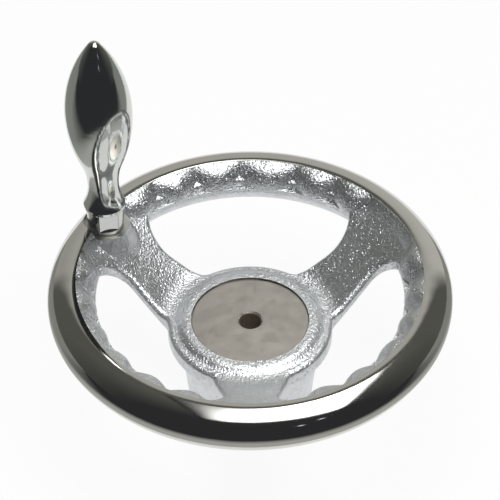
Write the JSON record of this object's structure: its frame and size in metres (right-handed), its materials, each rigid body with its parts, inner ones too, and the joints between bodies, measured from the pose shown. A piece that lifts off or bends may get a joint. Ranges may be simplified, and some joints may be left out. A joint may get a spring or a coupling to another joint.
{
  "type": "handwheel",
  "caption": "Cast machine handwheel with a polished round rim, lobed inner edge, dished arched spokes, a long plain-bored hub and a revolving tapered grip.",
  "frame": {"origin": "on the hub's axis, at the machined back face of the hub boss", "axes": "+Z along the hub's axis, from the boss's back face towards the side that carries the handle; the spokes lie at 30, 150 and 270 degrees from +X, and the handle stands on the one at 150 degrees"},
  "size_m": [0.125, 0.125, 0.1237],
  "materials": {
    "wheel_metal": "polished round rim, rough bright-plated cast spokes and inner rim, fine-turned hub face",
    "spindle_metal": "bright plated",
    "ring_metal": "plain spring steel",
    "grip_metal": "mirror polished"
  },
  "bodies": {
    "wheel": {"wheel": "wheel_metal", "handle_spindle": "spindle_metal", "retaining_ring": "ring_metal"},
    "grip": {"handle_grip": "grip_metal"}
  },
  "joints": [
    {"name": "grip_spin", "type": "hinge", "parent": "wheel", "child": "grip", "pos_m": [-0.04521, 0.0261, 0.0595], "axis": [0, 0, 1], "continuous": true}
  ]
}
